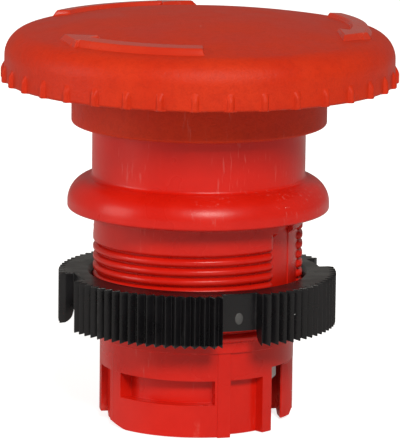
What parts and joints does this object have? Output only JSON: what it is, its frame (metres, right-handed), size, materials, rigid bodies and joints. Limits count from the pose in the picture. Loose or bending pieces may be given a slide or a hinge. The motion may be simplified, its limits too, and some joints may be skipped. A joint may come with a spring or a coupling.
{
  "type": "emergency stop button",
  "caption": "Mushroom-head twist-to-release emergency stop operator with a panel flange, threaded barrel, ring nut and contact socket.",
  "frame": {"origin": "on the axis, in the plane of the flange's underside, where the front of the panel is", "axes": "+Z along the axis towards the mushroom head, -Y towards the front grip notch's side, +X to the right seen from the front"},
  "size_m": [0.0412, 0.0412, 0.0425],
  "materials": {
    "head_red": "fine satin moulded red",
    "body_red": "satin moulded red",
    "nut_black": "satin moulded black",
    "black_plastic": "matt black",
    "plunger_pale": "pale grey moulded",
    "bush_pale": "natural white moulded",
    "seal_rubber": "matt black rubber",
    "spring_steel": "drawn bright wire",
    "spindle_steel": "turned steel",
    "insert_brass": "turned brass"
  },
  "bodies": {
    "body": {"housing": "body_red", "panel_gasket": "seal_rubber", "guide_bush": "bush_pale", "latch_spring": "spring_steel", "latch_cover": "black_plastic", "wiper_seal": "seal_rubber", "seal_retainer": "black_plastic", "spring_seat_washer": "spindle_steel", "return_spring": "spring_steel"},
    "plunger": {"plunger": "plunger_pale", "plunger_foot": "plunger_pale", "thrust_washer": "insert_brass", "turning_spring": "spring_steel"},
    "head": {"mushroom_cap": "head_red", "cap_insert": "insert_brass", "lock_washer": "spring_steel", "spindle": "spindle_steel", "retaining_clip": "spring_steel", "spindle_o_ring": "seal_rubber"},
    "nut": {"ring_nut": "nut_black"}
  },
  "joints": [
    {"name": "press", "type": "slide", "parent": "body", "child": "plunger", "axis": [0, 0, -1], "range_m": [0, 0.004], "stiffness_N_per_m": 900, "springref_m": -0.003, "deforming": ["return_spring", "latch_spring"]},
    {"name": "turn", "type": "hinge", "parent": "plunger", "child": "head", "pos_m": [0, 0, 0], "axis": [0, 0, -1], "range_deg": [0, 40], "stiffness_Nm_per_rad": 0.02, "springref_deg": -20.05, "deforming": ["turning_spring"]},
    {"name": "nut_travel", "type": "slide", "parent": "body", "child": "nut", "axis": [0, 0, -1], "range_m": [-0.0055, 0.0065]}
  ]
}
